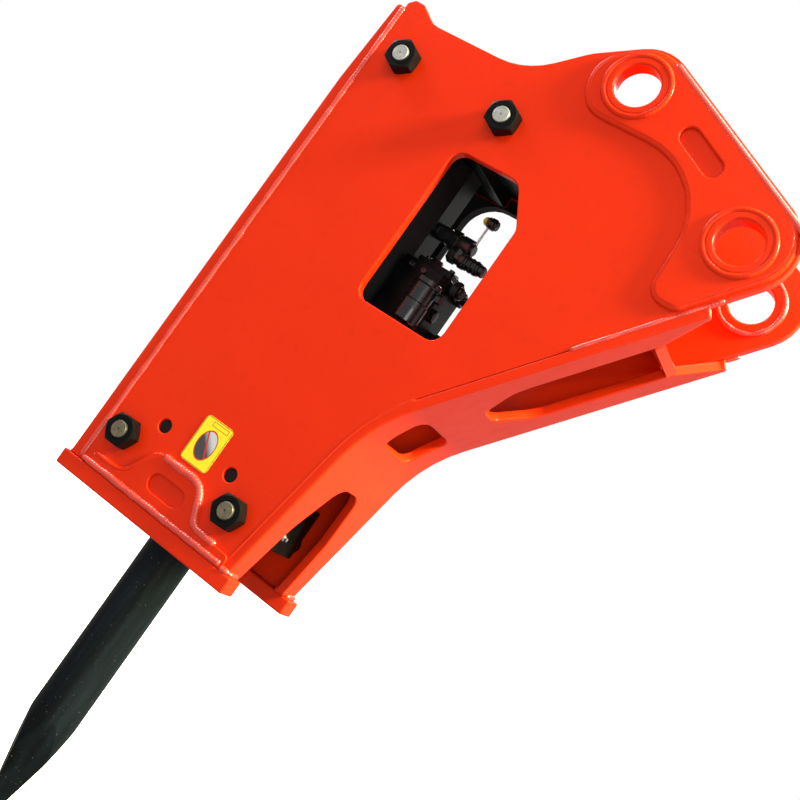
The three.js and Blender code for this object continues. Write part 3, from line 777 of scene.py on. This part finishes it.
# Lighter bluish streaks: partly handling marks, partly a painted sheen.
streak_and_sheen = tool.between(streak, 0.35, 0.7)
bloom_and_sheen = tool.blend(streak_and_sheen, (0.0012, 0.002, 0.002, 1), (0.009, 0.014, 0.020, 1))
tool_steel = tool.shows(
    Base_Color=tool.blend(speck, bloom_and_sheen, (0.20, 0.19, 0.17, 1)),
    Metallic=0.2,
    Specular_IOR_Level=0.12,
    Roughness=tool.between(streak, 0.3, 0.75, 0.45, 0.62),
    Normal=tool.relief(tool.cloud(300, 4.0), 0.00008, tool.relief(streak, 0.0003)),
)
rounded_over("chisel", 0.0012, tool_steel, "chisel", angle=12)


# ---- Power cell ---------------------------------------------------------------------------
# Forged and machined heads and cylinder, sprayed black, with the tie rods and their nuts.
cell = Finish("black_cell_paint")
cell_dust = cell.between(cell.cloud(14, 5.0, 0.6), 0.45, 0.75)
cell_black = cell.shows(
    Specular_IOR_Level=0.2,
    Base_Color=cell.blend(cell_dust, (0.0010, 0.0013, 0.0013, 1), (0.0040, 0.0045, 0.0042, 1)),
    Roughness=cell.between(cell_dust, 0.0, 1.0, 0.30, 0.48),
    Normal=cell.relief(cell.cloud(180, 3.0), 0.00015),
)
for node, radius in (
    ("front_head", 0.003), ("cylinder", 0.002), ("back_head", 0.003), ("valve_block", 0.002),
    ("valve_cap", 0.001), ("retaining_pin_front", 0.001), ("retaining_pin_rear", 0.001),
    *((f"tie_rod_nut_{n}", 0.001) for n in range(1, 5)),
):
    rounded_over(node, radius, cell_black)


def dressed(material, *nodes):
    for node in nodes:
        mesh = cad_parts[node].data
        mesh.materials.clear()
        mesh.materials.append(material)


steel = Finish("ground_steel")
fine = steel.cloud(500, 2.0)
ground = steel.shows(
    Base_Color=steel.blend(fine, (0.55, 0.55, 0.54, 1), (0.42, 0.42, 0.41, 1)),
    Metallic=0.9,
    Roughness=steel.between(fine, 0.3, 0.7, 0.18, 0.30),
)
dressed(ground, "piston", "valve_spool", "grease_nipple")
dressed(ground, *(f"tie_rod_{n}" for n in range(1, 5)))
bronze = Finish("bush_bronze")
cast = bronze.cloud(300, 3.0)
bushing = bronze.shows(
    Base_Color=bronze.blend(cast, (0.40, 0.25, 0.09, 1), (0.28, 0.17, 0.06, 1)),
    Metallic=0.9,
    Roughness=bronze.between(cast, 0.3, 0.7, 0.3, 0.45),
)
dressed(bushing, "lower_bush", "upper_bush")
dressed(blackened, "thrust_ring", "seal_carrier", "gas_valve")
dressed(rubber, "dust_seal")


# ---- Ports, valve cover and test point ------------------------------------------------------
# Blackened steel adapters screwed into the ports, with hexagons, ribbed hose ends and caps,
# the round cover and plugs of the control valve with their socket screws, and a test point
# that stands on the return adapter on a pale nylon tube, under a yellow dust cap.
oil_black = Finish("oiled_black_steel")
# Lighter bluish-grey patches: partly oil smears, partly painted highlights.
smear_and_sheen = oil_black.cloud(70, 4.0, 0.6)
oiled = oil_black.shows(
    Base_Color=oil_black.blend(smear_and_sheen, (0.003, 0.0036, 0.0036, 1), (0.018, 0.020, 0.023, 1)),
    Metallic=0.3,
    Coat_Weight=0.6,
    Roughness=oil_black.between(smear_and_sheen, 0.3, 0.7, 0.16, 0.38),
    Normal=oil_black.relief(oil_black.cloud(500, 2.0), 0.00006),
)


def stepped(steps):
    """A closed profile from (radius, start, end, chamfer) steps along an axis, in millimetres."""
    profile = [(0, steps[0][1])]
    for radius, start, end, chamfer in steps:
        profile += [
            (radius - chamfer, start), (radius, start + chamfer),
            (radius, end - chamfer), (radius - chamfer, end),
        ]
    profile.append((0, steps[-1][2]))
    return [(radius / 1000, along / 1000) for radius, along in profile]


def gathered(shells):
    """Several closed shapes in one mesh."""
    whole = bmesh.new()
    for shell in shells:
        part = bpy.data.meshes.new("part")
        shell.to_mesh(part)
        whole.from_mesh(part)
        bpy.data.meshes.remove(part)
        shell.free()
    return whole


def cap_screw(x, y, z, axis):
    """A socket head screw standing on the point, with its recess."""
    radius = 6
    tall = radius * 0.9
    profile = [
        (0, 0.35 * tall), (0.5 * radius, 0.4 * tall), (0.5 * radius, tall),
        (0.88 * radius, tall), (radius, 0.88 * tall), (radius, -1), (0, -1),
    ]
    return spun([(r / 1000, a / 1000) for r, a in profile], drawn(x, y, z), Vector(axis), 20)


def ribs(radius, start, end):
    """Steps for stepped() that go in and out, as on the barbs of a hose end."""
    pitch = 5.5
    groove = 1.6
    return [
        (radius - groove * (k % 2), start + k * pitch, start + (k + 1) * pitch, 0.8)
        for k in range(int((end - start) / pitch))
    ]


rearward = Vector((1, 0, 0))
across_y = Vector((0, 1, 0))
up_z = Vector((0, 0, 1))
return_axis = drawn(0, 0, 795)
hose_end_axis = drawn(0, 0, 768)
return_line = gathered([
    spun(stepped([(17, 76, 101, 1), (15, 101, 108, 0.5)]), return_axis, rearward, 36),
    spun(stepped([(21, 106, 127, 1.5)]), return_axis, rearward, 6),
    spun(
        stepped([(16, 126, 131, 0.5), (19, 131, 158, 2), (12, 158, 163, 1)]),
        return_axis, rearward, 36,
    ),
    spun(stepped([(15, -4, 30, 2)]), drawn(140, 0, 765), up_z, 32),
    spun(stepped([(17, 122, 140, 1.5)]), hose_end_axis, rearward, 6),
    spun(
        stepped([
            (14, 138, 150, 1), (17, 150, 163, 1.5), *ribs(15.5, 163, 196), (12, 196, 206, 1),
        ]),
        hose_end_axis, rearward, 36,
    ),
])
finished(
    "return_adapter", return_line, oiled,
    stands_for=("outlet_adapter", "outlet_cap"),
)
pressure_axis = drawn(0, 28, 600)
pressure_line = gathered([
    spun(stepped([(20, 180.3, 190, 1)]), pressure_axis, rearward, 36),
    spun(stepped([(23, 189, 210, 1.5)]), pressure_axis, rearward, 6),
    spun(
        stepped([
            (15, 209, 216, 0.5), (20, 216, 232, 1.5), *ribs(18, 232, 250), (14, 250, 254, 0.5),
        ]),
        pressure_axis, rearward, 36,
    ),
])
finished(
    "pressure_adapter", pressure_line, oiled,
    stands_for=("inlet_adapter", "inlet_cap"),
)

cover_axis = drawn(160, -78, 0)
valve_fittings = [
    spun(stepped([(28, 596, 640, 2), (26, 640, 676, 1), (29, 676, 689, 2)]), cover_axis, up_z, 48),
    spun(stepped([(12, 180, 186, 0.5), (19, 184, 199, 1.5)]), drawn(0, -22, 706), rearward, 6),
    spun(stepped([(13, 198, 207, 3)]), drawn(0, -22, 706), rearward, 28),
    spun(stepped([(16, 179, 196, 1.5)]), drawn(0, 24, 704), rearward, 6),
    spun(stepped([(9, 195, 206, 2)]), drawn(0, 24, 704), rearward, 24),
    spun(stepped([(11, 188, 200, 1.2)]), drawn(0, -72, 668), rearward, 6),
    spun(stepped([(14, 179, 190, 1.2)]), drawn(0, -30, 640), rearward, 6),
    spun(stepped([(15, 730, 742, 1.2)]), drawn(116, -12, 0), up_z, 6),
    spun(stepped([(10, 730, 739, 1.2)]), drawn(150, 20, 0), up_z, 6),
]
for dx, dy in ((108, -34), (166, -34), (108, 34), (166, 34)):
    valve_fittings.append(cap_screw(dx, dy, 730, up_z))
for dx, dz in ((98, 580), (98, 702), (128, 702), (128, 580)):
    valve_fittings.append(cap_screw(dx, -60, dz, -across_y))
    valve_fittings.append(cap_screw(dx, 60, dz, across_y))
finished("valve_fittings", gathered(valve_fittings), oiled)

tube_axis = drawn(158, 0, 0)
test_axis = drawn(0, 0, 860)
test_point = gathered([
    spun(stepped([(6, 850, 868, 1)]), tube_axis, up_z, 20),
    spun(stepped([(11, 151, 159, 0.8)]), test_axis, rearward, 6),
    spun(stepped([(12.5, 158, 169, 1), (10, 169, 174, 1)]), test_axis, rearward, 28),
])
finished("test_point", test_point, oiled)
nylon = Finish("pale_nylon")
nylon_grain = nylon.cloud(90, 2.0)
pale_tube = nylon.shows(
    Base_Color=nylon.blend(nylon_grain, (0.80, 0.80, 0.78, 1), (0.88, 0.88, 0.86, 1)),
    Roughness=nylon.between(nylon_grain, 0.3, 0.7, 0.35, 0.5),
)
tube = spun(stepped([(2.5, 808, 851, 0.5)]), tube_axis, up_z, 20)
finished("test_point_tube", tube, pale_tube)
cap_plastic = Finish("yellow_cap_plastic")
cap_grain = cap_plastic.cloud(150, 3.0)
capped = cap_plastic.shows(
    Base_Color=cap_plastic.blend(cap_grain, (0.82, 0.60, 0.02, 1), (0.90, 0.70, 0.03, 1)),
    Roughness=cap_plastic.between(cap_grain, 0.3, 0.7, 0.35, 0.5),
)
dust_cap = spun(stepped([(7.5, 143, 146, 1.5), (9, 146, 152, 1)]), test_axis, rearward, 28)
finished("test_point_cap", dust_cap, capped)
